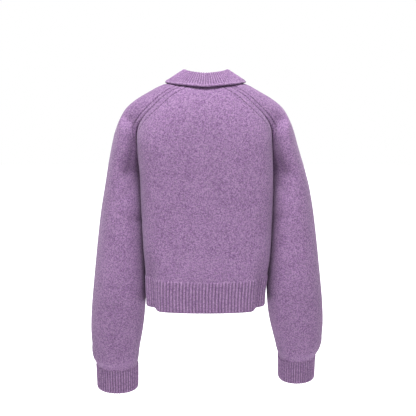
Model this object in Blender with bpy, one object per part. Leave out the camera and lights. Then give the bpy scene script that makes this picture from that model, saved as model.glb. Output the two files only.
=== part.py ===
"""A worn wool cardigan: raglan sleeves, folded rib collar, rib cuffs and hem, buttoned front.

The tables are in millimetres and degrees, and points become metres as they are placed.
The origin is the middle of the neck at shoulder height. +Z is up, the front faces -Y and
the wearer's left is +X. Every cloth piece is a wall on a surface of two numbers from 0 to 1.
"""
import math
from collections import namedtuple

import bmesh
import bpy
from mathutils import Vector

MM = 0.001
TAU = 2 * math.pi

# ---------------------------------------------------------------- driving sizes
WALL = 3.0                # thickness of the felted knit
SEAM = 0.3                # space between two pieces at a seam
RIB_SEAM = 0.5            # the same above a rib, whose edge wavers
NECK_GAP = 1.2            # the same under the collar, whose stand leans in
HEM_TOP = (-415, -11)     # height of the rib seam at the side, and its drop at centre back
HEM_EDGE = (-485, -4.5)   # the same for the lower edge of the rib
HEM_STEP = 5              # how far the edge's back hangs below its sides
HEM_STEP_AT = (0.45, 0.62)    # sines of the angles between which it steps down
NECK_FRONT = -62          # height of the neck seam at centre front
ARMPIT = 8                # station of the armpit, in the raglan and sleeve tables
CUFF = 18                 # station where the sleeve meets its cuff
CUFF_START = 18.02        # station where the cuff begins, a seam's space below that
CUFF_EDGE = 20            # station of the cuff's open end
SIDE_SEAM = math.radians(-5)
SEAM_ANGLE = SEAM / 2 / 120    # half a seam's space as an angle round the body
SLIT_SHARE = SEAM / 2 / 200    # and as a share of the way round a sleeve

BAND_HALF = 15            # half the width of a button band
LAP = WALL + 0.6          # how far the lower front edge lies under the upper band
LAP_START = 50            # distance from centre front where the lower front starts to sink
BUTTONS = 6
BUTTON_TOP = -84
BUTTON_BOTTOM = -452
BUTTON_RADIUS = 10
BUTTON_THICK = 4

RIB_HEIGHT = 2.2
HEM_RIBS = 58             # on the back, and half as many on each front
CUFF_RIBS = 46
COLLAR_RIBS = 74
FOLD_RADIUS = 5.5         # outside radius of the collar's fold

# The garment leans a little to its left, more at the shoulders and above the hem, and its
# right sleeve hangs shorter and narrower. Each range gives the two ends of a soft change.
COLLAR_LEAN = 2.5
LEAN = 5.5
LEAN_GROWS = (10, -15)
LEAN_FADES = (-110, -240)
HEM_LEAN = 3.5
HEM_LEAN_GROWS = (-380, -470)
HEM_LEAN_FADES = (-510, -600)
HEM_LEAN_ACROSS = (-240, -150)
SLEEVE_SHORTER = 0.955
SHORTER_BELOW = -200
SLEEVE_NARROWER = 0.88
NARROWER_RANGE = (-580, -650)
CUFF_MIDDLE = -199

# ---------------------------------------------------------------- body sections
SQUARENESS = 2.5          # 2 makes a section an ellipse, and more squares its corners
BACK_SQUARENESS = 3.6
BACK_SQUARE_RANGE = (-40, -130)
Section = namedtuple("Section", "height half_width back front")
BODY = (
    Section(8, 52, 50, 40),
    Section(3, 64, 56.5, 47),
    Section(-10, 92, 70, 62),
    Section(-30, 116, 82, 80),
    Section(-60, 137, 93, 100),
    Section(-100, 147, 99, 118),
    Section(-150, 148, 101, 130),
    Section(-230, 147, 98, 129),
    Section(-305, 143.5, 95, 124),
    Section(-370, 140, 95, 119),
    Section(-425, 134, 96, 114),
    Section(-500, 128, 94, 108),
)

# Where the arms press the body in, and where the rib gathers the back into two folds.
DENT_DEPTH = 6
DENT_Y = -15
DENT_WIDTH = 32
DENT_RANGE = (-90, -150, -450, -490)
FOLD_DEPTH = 10
FOLD_ANGLE = math.radians(29)
FOLD_WIDTH = math.radians(7)
FOLD_TOP = -365
FOLD_FULL = -440

# ---------------------------------------------------------------- raglan seams and sleeves
Raglan = namedtuple("Raglan", "station back_z back_angle front_z front_angle")
RAGLAN = (
    Raglan(0, 3, 48, -3, -35),
    Raglan(1, -6, 42, -14, -36),
    Raglan(2, -22, 33, -32, -34),
    Raglan(3, -43, 27, -57, -30),
    Raglan(4, -69, 20, -84, -24),
    Raglan(5, -99, 12, -111, -18),
    Raglan(6, -125, 8, -135, -14),
    Raglan(7, -155, 3, -160, -10),
    Raglan(8, -190, -5, -190, -5),
)

# The outermost line of the shoulder, how far the seam is folded there (0 is smooth, 1 is a
# crease), and how far the cloth swells to the back and front before it turns.
Cap = namedtuple("Cap", "station x y z crease swell")
CAP = (
    Cap(0, 64, 0, 3, 0, 20),
    Cap(1, 92, 0, -3.5, 0, 24),
    Cap(2, 122, -1, -19.5, 0, 26),
    Cap(3, 150, -2, -36.5, 0, 30),
    Cap(4, 172, -4, -56, 0.15, 37),
    Cap(5, 186.5, -6, -81, 0.55, 47),
    Cap(6, 197, -8, -109, 0.85, 57),
    Cap(7, 206, -9, -145, 1, 67),
    Cap(8, 217, -10, -190, 1, 75),
)
CREASE_WAY = Vector((0.42, 0.9, 0))

Tube = namedtuple("Tube", "station z inner outer y half_depth tilt")
TUBE = (
    Tube(8, -190, 142.5, 217, -12, 56, 0),
    Tube(9, -230, 143, 225, -12, 60, 0),
    Tube(10, -285, 141, 234, -12, 62, 0),
    Tube(11, -345, 138.5, 241, -11, 63, 0),
    Tube(12, -405, 136, 247, -11, 64, 0),
    Tube(13, -455, 135, 252, -14, 65, 2),
    Tube(14, -500, 137, 256, -20, 64, 4),
    Tube(15, -545, 142, 258, -28, 60, 7),
    Tube(16, -590, 150, 257.5, -40, 55, 10),
    Tube(17, -612, 152.5, 255, -46, 53, 11.5),
    Tube(18, -630, 155.5, 247.5, -52, 46, 12.5),
    Tube(19, -657, 156, 246, -59, 43.5, 14),
    Tube(20, -686, 156.5, 245.5, -67, 43.5, 14),
)
ROUND_HANDLE = 4 / 3      # length of a curve's handle that makes half an ellipse

# ---------------------------------------------------------------- neck and collar
# Seam height, then radius and height of the fold's middle and of the leaf's edge. The
# edge's own angle moves away from centre front, so the collar opens there.
Neck = namedtuple("Neck", "angle seam_z fold_r fold_z edge_r edge_z edge_angle")
NECK = (
    Neck(-90, NECK_FRONT, 99, -50, 129, -101, -73),
    Neck(-80, -57, 95, -40, 126.5, -88, -67),
    Neck(-65, -38, 85, -19, 119, -62, -57),
    Neck(-50, -16, 68, 1, 107, -34.5, -46),
    Neck(-35, -3, 56, 13, 95.5, -13, -34),
    Neck(-20, 1, 49, 20, 90, -1.6, -20),
    Neck(0, 3, 47, 22.5, 88, 2, 0),
    Neck(30, 3, 46.5, 21.5, 81, 1.8, 30),
    Neck(60, 3, 45.5, 19.5, 75.5, 0.2, 60),
    Neck(90, 3, 45, 18.5, 73, -2.5, 90),
)
COLLAR_END = 0.012        # angle from centre front to the collar's ends
STAND_SHARE = 0.2         # share of the collar's rows on the stand, and up to the leaf
LEAF_SHARE = 0.6

WOOL = (0.314, 0.184, 0.361, 1)
RIB_WOOL = (0.285, 0.170, 0.330, 1)
BUTTON_COLOUR = (0.190, 0.105, 0.235, 1)


# ---------------------------------------------------------------- small helpers
def clamp(value, low=0.0, high=1.0):
    return max(low, min(high, value))


def ease(value, start, end):
    """0 at start and 1 at end, with a soft beginning and finish."""
    part = clamp((value - start) / (end - start))
    return part * part * (3 - 2 * part)


def mix(start, end, part):
    return start + (end - start) * part


def between(rows, key):
    """A table's row at any key, on a smooth curve through the rows."""
    way = 1 if rows[-1][0] > rows[0][0] else -1
    index = 0
    while index < len(rows) - 2 and (rows[index + 1][0] - key) * way < 0:
        index += 1
    before = rows[max(index - 1, 0)]
    start = rows[index]
    end = rows[index + 1]
    after = rows[min(index + 2, len(rows) - 1)]
    span = end[0] - start[0]
    part = clamp((key - start[0]) / span)
    values = []
    for a, b, c, d in zip(before, start, end, after):
        leave = (c - a) / (end[0] - before[0]) * span
        arrive = (d - b) / (after[0] - start[0]) * span
        bend = part * (1 - part)
        rise = b + (c - b) * part * part * (3 - 2 * part)
        values.append(rise + bend * ((1 - part) * leave - part * arrive))
    return type(start)(*values)


def posed(point, sleeve=False):
    """The garment's lean, and the shorter hang of the right sleeve."""
    x, y, z = point
    lean = mix(COLLAR_LEAN, LEAN, ease(z, *LEAN_GROWS)) * (1 - ease(z, *LEAN_FADES))
    if x < 0 or not sleeve:
        low = ease(z, *HEM_LEAN_GROWS) * (1 - ease(z, *HEM_LEAN_FADES))
        lean += HEM_LEAN * low * ease(x, *HEM_LEAN_ACROSS)
    if x < 0 and sleeve:
        x = CUFF_MIDDLE + (x - CUFF_MIDDLE) * mix(1, SLEEVE_NARROWER, ease(z, *NARROWER_RANGE))
        z += min(z - SHORTER_BELOW, 0) * (SLEEVE_SHORTER - 1)
    return Vector((x + lean, y, z))


# ---------------------------------------------------------------- the body's surface
def body_radius(angle, height):
    """Distance of the outer cloth from the middle axis, at an angle from +X."""
    section = between(BODY, height)
    sine = math.sin(angle)
    cosine = abs(math.cos(angle))
    depth = section.back if sine > 0 else section.front
    squarer = ease(height, *BACK_SQUARE_RANGE) if sine > 0 else 0
    power = mix(SQUARENESS, BACK_SQUARENESS, squarer)
    wide = (cosine / section.half_width) ** power
    deep = (abs(sine) / depth) ** power
    radius = (wide + deep) ** (-1 / power)

    start, full, fade, end = DENT_RANGE
    pressed = ease(height, start, full) * (1 - ease(height, fade, end))
    if cosine > 0.5:
        away = (radius * sine - DENT_Y) / DENT_WIDTH
        radius -= DENT_DEPTH * pressed * math.exp(-away * away)
    if sine > 0:
        away = (math.acos(clamp(cosine)) - FOLD_ANGLE) / FOLD_WIDTH
        radius -= FOLD_DEPTH * ease(height, FOLD_TOP, FOLD_FULL) * math.exp(-away * away)
    return radius


def body_point(angle, height, sunk=0.0):
    radius = body_radius(angle, height) - sunk
    return Vector((radius * math.cos(angle), radius * math.sin(angle), height))


def hem_height(line, angle):
    level, drop = line
    return level + drop * math.sin(angle)


def hem_edge_height(angle):
    return hem_height(HEM_EDGE, angle) - HEM_STEP * ease(math.sin(angle), *HEM_STEP_AT)


def even_angles(height, start, end, count):
    """Angles that share a stretch of the body's girth into equal lengths."""
    samples = 600
    angles = [mix(start, end, i / samples) for i in range(samples + 1)]
    points = [body_point(angle, height) for angle in angles]
    walked = [0.0]
    for here, there in zip(points, points[1:]):
        walked.append(walked[-1] + (there - here).length)
    result = []
    index = 0
    for step in range(count + 1):
        goal = walked[-1] * step / count
        while index < samples - 1 and walked[index + 1] < goal:
            index += 1
        part = (goal - walked[index]) / (walked[index + 1] - walked[index])
        result.append(mix(angles[index], angles[index + 1], part))
    return result


def at_share(values, share):
    """A value between the entries of an evenly spaced list."""
    place = clamp(share) * (len(values) - 1)
    index = min(int(place), len(values) - 2)
    return mix(values[index], values[index + 1], place - index)


# ---------------------------------------------------------------- raglan seams
def raglan_back(station):
    row = between(RAGLAN, station)
    return math.radians(row.back_angle), row.back_z


def raglan_front(station):
    row = between(RAGLAN, station)
    return math.radians(row.front_angle), row.front_z


def neck_row(angle):
    """The neck table at any angle round the neck, the same on both sides."""
    sideways = math.degrees(math.asin(clamp(math.sin(angle), -1, 1)))
    return between(NECK, sideways)


# ---------------------------------------------------------------- the sleeves' surface
def smooth_way(angle, height, towards):
    """Direction along the body's cloth at a seam point, on the way to another point."""
    step = 0.01
    here = body_point(angle, height)
    round_way = body_point(angle + step, height) - here
    up_way = body_point(angle, height + 1) - here
    normal = round_way.cross(up_way).normalized()
    way = towards - here
    return (way - normal * way.dot(normal)).normalized()


def cap_section(station):
    """Seven points across the shoulder: two curves, from back seam to ridge to front seam."""
    row = between(CAP, station)
    back_angle, back_z = raglan_back(station)
    front_angle, front_z = raglan_front(station)
    back = body_point(back_angle, back_z)
    front = body_point(front_angle, front_z)
    ridge = Vector((row.x, row.y, row.z))
    front_crease = Vector((CREASE_WAY.x, -CREASE_WAY.y, 0))
    back_way = smooth_way(back_angle, back_z, ridge).lerp(CREASE_WAY, row.crease).normalized()
    front_way = smooth_way(front_angle, front_z, ridge).lerp(front_crease, row.crease).normalized()
    over = Vector((0, row.swell, 0))
    return (back, back + back_way * row.swell, ridge + over, ridge,
            ridge - over, front + front_way * row.swell, front)


def tube_section(station):
    """The same seven points round the arm, below the armpit."""
    row = between(TUBE, station)
    tilt = math.radians(row.tilt)
    back = Vector((0, math.cos(tilt), -math.sin(tilt))) * (ROUND_HANDLE * row.half_depth)
    inner = Vector((row.inner, row.y, row.z))
    outer = Vector((row.outer, row.y, row.z))
    return inner, inner + back, outer + back, outer, outer - back, inner - back, inner


def blended(first, second, part):
    return tuple(a.lerp(b, part) for a, b in zip(first, second))


def sleeve_section(station):
    if station <= ARMPIT:
        return cap_section(station)
    part = ease(station, ARMPIT, ARMPIT + 1)
    if part == 1:
        return tube_section(station)
    return blended(cap_section(ARMPIT), tube_section(station), part)


def curve_point(a, b, c, d, part):
    rest = 1 - part
    return (a * rest ** 3 + b * (3 * rest * rest * part)
            + c * (3 * rest * part * part) + d * part ** 3)


def sleeve_point(station, share):
    """A point of the left sleeve: share 0 is the back edge, 0.5 the ridge, 1 the front edge."""
    points = sleeve_section(station)
    if share < 0.5:
        point = curve_point(*points[:4], share * 2)
    else:
        point = curve_point(*points[3:], share * 2 - 1)
    at_neck = 1 - ease(station, 0, 1)
    if at_neck > 0:
        angle = mix(raglan_back(0)[0], raglan_front(0)[0], share)
        point = point.lerp(neck_seam(angle), at_neck)
    return point


# ---------------------------------------------------------------- the collar's surface
def around_neck(radius, angle, height):
    return Vector((radius * math.cos(angle), radius * math.sin(angle), height))


def neck_seam(angle):
    return body_point(angle, neck_row(angle).seam_z)


def collar_point(angle, share):
    """Across the collar: up the stand, over the fold and down the leaf."""
    row = neck_row(angle)
    seam = neck_seam(angle) + Vector((0, 0, NECK_GAP))
    middle = around_neck(row.fold_r, angle, row.fold_z)
    lean = math.radians(row.edge_angle)
    edge_angle = math.pi - lean if math.cos(angle) < 0 else lean
    edge = around_neck(row.edge_r, edge_angle, row.edge_z)

    outward = Vector((math.cos(angle), math.sin(angle), 0))
    rise = middle - seam
    fall = edge - middle
    first = math.atan2(rise.z, rise.dot(outward)) + math.pi / 2
    last = math.atan2(fall.z, fall.dot(outward)) + math.pi / 2

    def on_fold(turn):
        up = Vector((0, 0, math.sin(turn)))
        return middle + (outward * math.cos(turn) + up) * FOLD_RADIUS

    if share < STAND_SHARE:
        return seam.lerp(on_fold(first), share / STAND_SHARE)
    if share < LEAF_SHARE:
        return on_fold(mix(first, last, (share - STAND_SHARE) / (LEAF_SHARE - STAND_SHARE)))
    return on_fold(last).lerp(edge, (share - LEAF_SHARE) / (1 - LEAF_SHARE))


# ---------------------------------------------------------------- each piece's surface
def back_surface(across, down):
    """From the neck to the rib seam, between the raglan seams and then the side seams."""
    station = down * BODY_ROWS
    if station <= ARMPIT:
        edge, height = raglan_back(station)
    else:
        edge = SIDE_SEAM
    angle = mix(edge + SEAM_ANGLE, math.pi - edge - SEAM_ANGLE, across)
    if station > ARMPIT:
        part = (station - ARMPIT) / (BODY_ROWS - ARMPIT)
        height = mix(RAGLAN[-1].back_z, hem_height(HEM_TOP, angle), part)
    return posed(body_point(angle, height))


def band_angle(x, height):
    """Angle of a point at a distance from centre front."""
    return -math.pi / 2 + x / between(BODY, height).front


def lap_depth(x):
    """How far the left front sinks to pass under the upper band."""
    return LAP * (1 - ease(x, BAND_HALF, LAP_START))


def front_surface(side):
    def surface(across, down):
        station = down * BODY_ROWS
        cap_station = min(station, ARMPIT)
        edge, edge_z = raglan_front(cap_station)
        if station >= ARMPIT:
            edge = SIDE_SEAM
        middle_z = mix(NECK_FRONT, ARMPIT_MIDDLE, cap_station / ARMPIT)
        angle = mix(edge - SEAM_ANGLE, band_angle(BAND_HALF + SEAM, middle_z), across)

        top_edge = raglan_front(0)[0]
        top_angle = mix(top_edge, -math.pi / 2, across)
        top_z = raglan_front(0)[1]
        dip = (neck_row(top_angle).seam_z - top_z) / (NECK_FRONT - top_z)
        height = mix(edge_z, middle_z, dip)
        if station > ARMPIT:
            part = (station - ARMPIT) / (BODY_ROWS - ARMPIT)
            height = mix(height, hem_height(HEM_TOP, angle), part)
            angle = mix(edge - SEAM_ANGLE, band_angle(BAND_HALF + SEAM, height), across)
        radius = body_radius(angle, height)
        sunk = lap_depth(radius * math.cos(angle)) if side > 0 else 0
        point = body_point(angle, height, sunk)
        return posed(Vector((point.x * side, point.y, point.z)))
    return surface


def hem_back_surface(across, down):
    angle = at_share(HEM_BACK_ANGLES, across)
    top = hem_height(HEM_TOP, angle) - RIB_SEAM
    return posed(body_point(angle, mix(top, hem_edge_height(angle), down)))


def hem_front_surface(side):
    def surface(across, down):
        angle = at_share(HEM_FRONT_ANGLES, across)
        top = hem_height(HEM_TOP, angle) - RIB_SEAM
        height = mix(top, hem_edge_height(angle), down)
        radius = body_radius(angle, height)
        sunk = lap_depth(radius * math.cos(angle)) if side > 0 else 0
        point = body_point(angle, height, sunk)
        return posed(Vector((point.x * side, point.y, point.z)))
    return surface


def band_surface(sunk):
    def surface(across, down):
        x = mix(-BAND_HALF, BAND_HALF, across)
        top = neck_row(band_angle(x, NECK_FRONT)).seam_z - SEAM
        height = mix(top, HEM_EDGE[0] - HEM_EDGE[1], down)
        return posed(body_point(band_angle(x, height), height, sunk))
    return surface


def sleeve_surface(side, first, last):
    """A stretch of the sleeve between two stations, with a slit at its underarm seam."""
    def surface(across, down):
        station = mix(first, last, down)
        point = sleeve_point(station, mix(SLIT_SHARE, 1 - SLIT_SHARE, across))
        return posed(Vector((point.x * side, point.y, point.z)), sleeve=True)
    return surface


def collar_surface(across, over):
    angle = mix(-math.pi / 2 + COLLAR_END, 1.5 * math.pi - COLLAR_END, across)
    return posed(collar_point(angle, over))


# ---------------------------------------------------------------- making the solids
def ribs(count):
    """Height of rounded ribs that run down a piece, over its plain wall."""
    return lambda across: RIB_HEIGHT * (0.5 - 0.5 * math.cos(TAU * across * count))


def plain(across):
    return 0.0


def surface_normal(surface, across, down, facing):
    step = 0.002
    left = surface(clamp(across - step), down)
    right = surface(clamp(across + step), down)
    above = surface(across, clamp(down - step))
    below = surface(across, clamp(down + step))
    return (right - left).cross(above - below).normalized() * facing


def cloth_wall(name, surface, columns, rows, facing=1, relief=plain, colour=WOOL):
    """A grid laid on a surface and given the knit's thickness towards the inside."""
    mesh = bmesh.new()
    bmesh.ops.create_grid(mesh, x_segments=columns, y_segments=rows, size=1)
    grown = bmesh.ops.extrude_face_region(mesh, geom=mesh.faces[:])
    outer = {item for item in grown["geom"] if isinstance(item, bmesh.types.BMVert)}
    for vert in mesh.verts:
        across = (vert.co.x + 1) / 2
        down = (vert.co.y + 1) / 2
        normal = surface_normal(surface, across, down, facing)
        lift = relief(across) if vert in outer else -WALL
        vert.co = (surface(across, down) + normal * lift) * MM
    bmesh.ops.recalc_face_normals(mesh, faces=mesh.faces)
    data = bpy.data.meshes.new(name)
    mesh.to_mesh(data)
    mesh.free()
    return add_object(name, data, colour, 0.95)


def add_object(name, data, colour, roughness):
    material = bpy.data.materials.new(name + "_finish")
    material.use_nodes = True
    shader = material.node_tree.nodes["Principled BSDF"]
    shader.inputs["Base Color"].default_value = colour
    shader.inputs["Roughness"].default_value = roughness
    shader.inputs["Metallic"].default_value = 0
    data.materials.append(material)
    item = bpy.data.objects.new(name, data)
    CARDIGAN.objects.link(item)
    return item


def button(number):
    """A round button that rests on the upper band at centre front."""
    height = mix(BUTTON_TOP, BUTTON_BOTTOM, number / (BUTTONS - 1))
    surface = band_surface(0)
    top = neck_row(-math.pi / 2).seam_z - SEAM
    down = (height - top) / (HEM_EDGE[0] - HEM_EDGE[1] - top)
    normal = surface_normal(surface, 0.5, down, 1)
    normal = normal if normal.y < 0 else -normal
    name = "button_%d" % (number + 1)

    mesh = bmesh.new()
    bmesh.ops.create_cone(mesh, cap_ends=True, segments=20, radius1=BUTTON_RADIUS * MM,
                          radius2=BUTTON_RADIUS * MM, depth=BUTTON_THICK * MM)
    rim = [edge for edge in mesh.edges if abs(edge.verts[0].co.z - edge.verts[1].co.z) < 1e-6]
    bmesh.ops.bevel(mesh, geom=rim, offset=BUTTON_THICK * 0.3 * MM, segments=1,
                    profile=0.5, affect="EDGES", material=-1)
    data = bpy.data.meshes.new(name)
    mesh.to_mesh(data)
    mesh.free()
    item = add_object(name, data, BUTTON_COLOUR, 0.4)
    item.location = (surface(0.5, down) + normal * (BUTTON_THICK / 2 + SEAM)) * MM
    item.rotation_mode = "QUATERNION"
    item.rotation_quaternion = normal.to_track_quat("Z", "Y")
    return item


# ---------------------------------------------------------------- the garment
BODY_ROWS = 14            # rows of the back and fronts; the first eight end at the armpit
ARMPIT_MIDDLE = -200      # height at centre front of the row that starts at the armpit
SLEEVE_COLUMNS = 18
BACK_SPACING_AT = -455    # heights at which the ribs are spaced evenly
FRONT_SPACING_AT = -440

for leftover in list(bpy.data.objects):
    bpy.data.objects.remove(leftover, do_unlink=True)
CARDIGAN = bpy.data.collections.new("cardigan")
bpy.context.scene.collection.children.link(CARDIGAN)

HEM_BACK_ANGLES = even_angles(BACK_SPACING_AT, SIDE_SEAM + SEAM_ANGLE,
                              math.pi - SIDE_SEAM - SEAM_ANGLE, HEM_RIBS * 2)
HEM_FRONT_ANGLES = even_angles(FRONT_SPACING_AT, SIDE_SEAM - SEAM_ANGLE,
                               band_angle(BAND_HALF + SEAM, HEM_EDGE[0]), HEM_RIBS)

cloth_wall("back", back_surface, 20, BODY_ROWS)
cloth_wall("hem_back", hem_back_surface, HEM_RIBS * 2, 2, relief=ribs(HEM_RIBS), colour=RIB_WOOL)
cloth_wall("collar", collar_surface, COLLAR_RIBS * 2, 5, relief=ribs(COLLAR_RIBS),
           colour=RIB_WOOL)
cloth_wall("band_over", band_surface(0), 2, 20)
cloth_wall("band_under", band_surface(LAP), 2, 20)

for side, word in ((1, "left"), (-1, "right")):
    cloth_wall("front_" + word, front_surface(side), 9, BODY_ROWS, facing=-side)
    cloth_wall("hem_front_" + word, hem_front_surface(side), HEM_RIBS, 2, facing=-side,
               relief=ribs(HEM_RIBS / 2), colour=RIB_WOOL)
    cloth_wall("sleeve_" + word, sleeve_surface(side, 0, CUFF), SLEEVE_COLUMNS, CUFF, facing=-side)
    cloth_wall("cuff_" + word, sleeve_surface(side, CUFF_START, CUFF_EDGE), CUFF_RIBS * 2, 2,
               facing=-side, relief=ribs(CUFF_RIBS), colour=RIB_WOOL)

for number in range(BUTTONS):
    button(number)
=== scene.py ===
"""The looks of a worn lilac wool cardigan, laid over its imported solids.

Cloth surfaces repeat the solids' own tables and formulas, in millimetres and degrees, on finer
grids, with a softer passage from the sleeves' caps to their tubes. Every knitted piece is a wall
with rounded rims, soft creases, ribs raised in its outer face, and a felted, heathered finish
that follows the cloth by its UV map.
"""
import math
from collections import namedtuple

import bmesh
import bpy
import numpy as np
from mathutils import Matrix, Vector


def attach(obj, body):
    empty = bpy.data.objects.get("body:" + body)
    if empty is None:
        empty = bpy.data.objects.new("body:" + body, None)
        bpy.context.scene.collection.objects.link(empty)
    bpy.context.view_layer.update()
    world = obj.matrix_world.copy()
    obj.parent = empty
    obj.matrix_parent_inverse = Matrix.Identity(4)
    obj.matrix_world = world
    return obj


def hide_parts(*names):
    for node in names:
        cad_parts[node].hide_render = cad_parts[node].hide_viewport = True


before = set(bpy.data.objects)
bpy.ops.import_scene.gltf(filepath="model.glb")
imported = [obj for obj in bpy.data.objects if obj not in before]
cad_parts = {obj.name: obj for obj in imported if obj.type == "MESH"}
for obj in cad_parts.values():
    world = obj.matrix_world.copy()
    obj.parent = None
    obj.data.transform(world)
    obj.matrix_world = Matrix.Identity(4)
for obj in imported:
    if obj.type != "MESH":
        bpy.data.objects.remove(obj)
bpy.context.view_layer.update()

MM = 0.001
TAU = 2 * math.pi

# ---------------------------------------------------------------- sizes shared with the solids
WALL = 3.0
SEAM = 0.06               # the solids lie further apart, to count as separate
SEAM_ANGLE = SEAM / 2 / 120     # half a seam's space as an angle round the body
SLIT_SHARE = SEAM / 2 / 200     # half a seam's space as a share of the way round a sleeve
NECK_GAP = 1.2
HEM_TOP = (-415, -11)
HEM_EDGE = (-485, -4.5)
HEM_STEP = 5
HEM_STEP_AT = (0.45, 0.62)
NECK_FRONT = -62
ARMPIT = 8
ARMPIT_MIDDLE = -200
CUFF = 18
CUFF_EDGE = 20
SIDE_SEAM = math.radians(-5)
BODY_ROWS = 14

BAND_HALF = 15
LAP = WALL + 0.6
LAP_START = 50
BUTTONS = 6
BUTTON_TOP = -84
BUTTON_BOTTOM = -452
BUTTON_RADIUS = 10
BUTTON_THICK = 4

RIB_HEIGHT = 2.2
HEM_RIBS = 58
CUFF_RIBS = 46
COLLAR_RIBS = 74
FOLD_RADIUS = 5.5

LEAN = 5.5                # how far the shoulders hang to the wearer's left
COLLAR_LEAN = 2.5
LEAN_GROWS = (10, -15)
LEAN_FADES = (-110, -240)
HEM_LEAN = 3.5
HEM_LEAN_GROWS = (-380, -470)
HEM_LEAN_FADES = (-510, -600)
HEM_LEAN_ACROSS = (-240, -150)
SLEEVE_SHORTER = 0.955    # the right sleeve's length as a share of the left one's
SHORTER_BELOW = -200
SLEEVE_NARROWER = 0.88
NARROWER_RANGE = (-580, -650)
CUFF_MIDDLE = -199

SQUARENESS = 2.5
BACK_SQUARENESS = 3.6
BACK_SQUARE_RANGE = (-40, -130)
Section = namedtuple("Section", "height half_width back front")
BODY = (
    Section(8, 52, 50, 40),
    Section(3, 64, 56.5, 47),
    Section(-10, 92, 70, 62),
    Section(-30, 116, 82, 80),
    Section(-60, 137, 93, 100),
    Section(-100, 147, 99, 118),
    Section(-150, 148, 101, 130),
    Section(-230, 147, 98, 129),
    Section(-305, 143.5, 95, 124),
    Section(-370, 140, 95, 119),
    Section(-425, 134, 96, 114),
    Section(-500, 128, 94, 108),
)
DENT_DEPTH = 6
DENT_Y = -15
DENT_WIDTH = 32
DENT_RANGE = (-90, -150, -450, -490)
FOLD_DEPTH = 10
FOLD_ANGLE = math.radians(29)
FOLD_WIDTH = math.radians(7)
FOLD_TOP = -365
FOLD_FULL = -440
BACK_SPACING_AT = -455.0  # heights at which the hem's ribs are spaced evenly
FRONT_SPACING_AT = -440.0

Raglan = namedtuple("Raglan", "station back_z back_angle front_z front_angle")
RAGLAN = (
    Raglan(0, 3, 48, -3, -35),
    Raglan(1, -6, 42, -14, -36),
    Raglan(2, -22, 33, -32, -34),
    Raglan(3, -43, 27, -57, -30),
    Raglan(4, -69, 20, -84, -24),
    Raglan(5, -99, 12, -111, -18),
    Raglan(6, -125, 8, -135, -14),
    Raglan(7, -155, 3, -160, -10),
    Raglan(8, -190, -5, -190, -5),
)
Cap = namedtuple("Cap", "station x y z crease swell")
CAP = (
    Cap(0, 64, 0, 3, 0, 20),
    Cap(1, 92, 0, -3.5, 0, 24),
    Cap(2, 122, -1, -19.5, 0.03, 26),
    Cap(3, 150, -2, -36.5, 0.12, 30),
    Cap(4, 172, -4, -56, 0.28, 37),
    Cap(5, 186.5, -6, -81, 0.52, 47),
    Cap(6, 197, -8, -109, 0.78, 57),
    Cap(7, 206, -9, -145, 1, 67),
    Cap(8, 217, -10, -190, 1, 75),
)
CREASE_WAY = np.array((0.42, 0.9, 0))

Tube = namedtuple("Tube", "station z inner outer y half_depth tilt")
TUBE = (
    Tube(8, -190, 142.5, 217, -12, 56, 0),
    Tube(9, -230, 143, 225, -12, 60, 0),
    Tube(10, -285, 141, 234, -12, 62, 0),
    Tube(11, -345, 138.5, 241, -11, 63, 0),
    Tube(12, -405, 136, 247, -11, 64, 0),
    Tube(13, -455, 135, 252, -14, 65, 2),
    Tube(14, -500, 137, 256, -20, 64, 4),
    Tube(15, -545, 142, 258, -28, 60, 7),
    Tube(16, -590, 150, 257.5, -40, 55, 10),
    Tube(17, -612, 152.5, 255, -46, 53, 11.5),
    Tube(18, -630, 155.5, 247.5, -52, 46, 12.5),
    Tube(19, -657, 156, 246, -59, 43.5, 14),
    Tube(20, -686, 156.5, 245.5, -67, 43.5, 14),
)
ROUND_HANDLE = 4 / 3
ARMPIT_BLEND = 2          # stations over which the cap's section becomes the tube's
OUTER_HANDLES = (0, 0, 1, 1, 1, 0, 0)   # 1 for a section's handles on the arm's outer side

Neck = namedtuple("Neck", "angle seam_z fold_r fold_z edge_r edge_z edge_angle")
NECK = (
    Neck(-90, NECK_FRONT, 99, -50, 129, -101, -73),
    Neck(-80, -57, 95, -40, 126.5, -88, -67),
    Neck(-65, -38, 85, -19, 119, -62, -57),
    Neck(-50, -16, 68, 1, 107, -34.5, -46),
    Neck(-35, -3, 56, 13, 95.5, -13, -34),
    Neck(-20, 1, 49, 20, 90, -1.6, -20),
    Neck(0, 3, 47, 22.5, 88, 2, 0),
    Neck(30, 3, 46.5, 21.5, 81, 1.8, 30),
    Neck(60, 3, 45.5, 19.5, 75.5, 0.2, 60),
    Neck(90, 3, 45, 18.5, 73, -2.5, 90),
)
COLLAR_END = 0.012        # radians from the garment's middle to each end of the collar
STAND_SHARE = 0.2
LEAF_SHARE = 0.6

# ---------------------------------------------------------------- sizes of the finish
RIB_ROUNDNESS = 0.6
RIB_FOOT = 0.25           # a rib's height where it is softened, as a share of its full height
# how narrowly the painted groove shade keeps to the bottom of a rib's groove
PAINTED_GROOVE_SHARPNESS = 1.3
LOBE_RANGE = (0.09, 0.16) # shares across the back's hem over which its ribs gain their full relief and painted groove shade
LOBE_SHADE = 0.5
INSIDE_RELIEF = (-1.5, 0.5)     # how much of the outer face's relief the inner face follows
RIM_ROUND = 1.1           # how much of a free edge's corner is rounded off
CREASE_MARGIN = (4, 30)   # distances from a piece's edge between which creases fade in

ROLL_HEIGHT = 1.4         # the thick roll along the collar's edge
ROLL_PLACE = 2.8
ROLL_WIDTH = 2.6
ROLL_GROOVE = 6.6
GROOVE_WIDTH = 0.9
# painted shade in the groove beside the collar's roll
GROOVE_SHADE = 0.55

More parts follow.
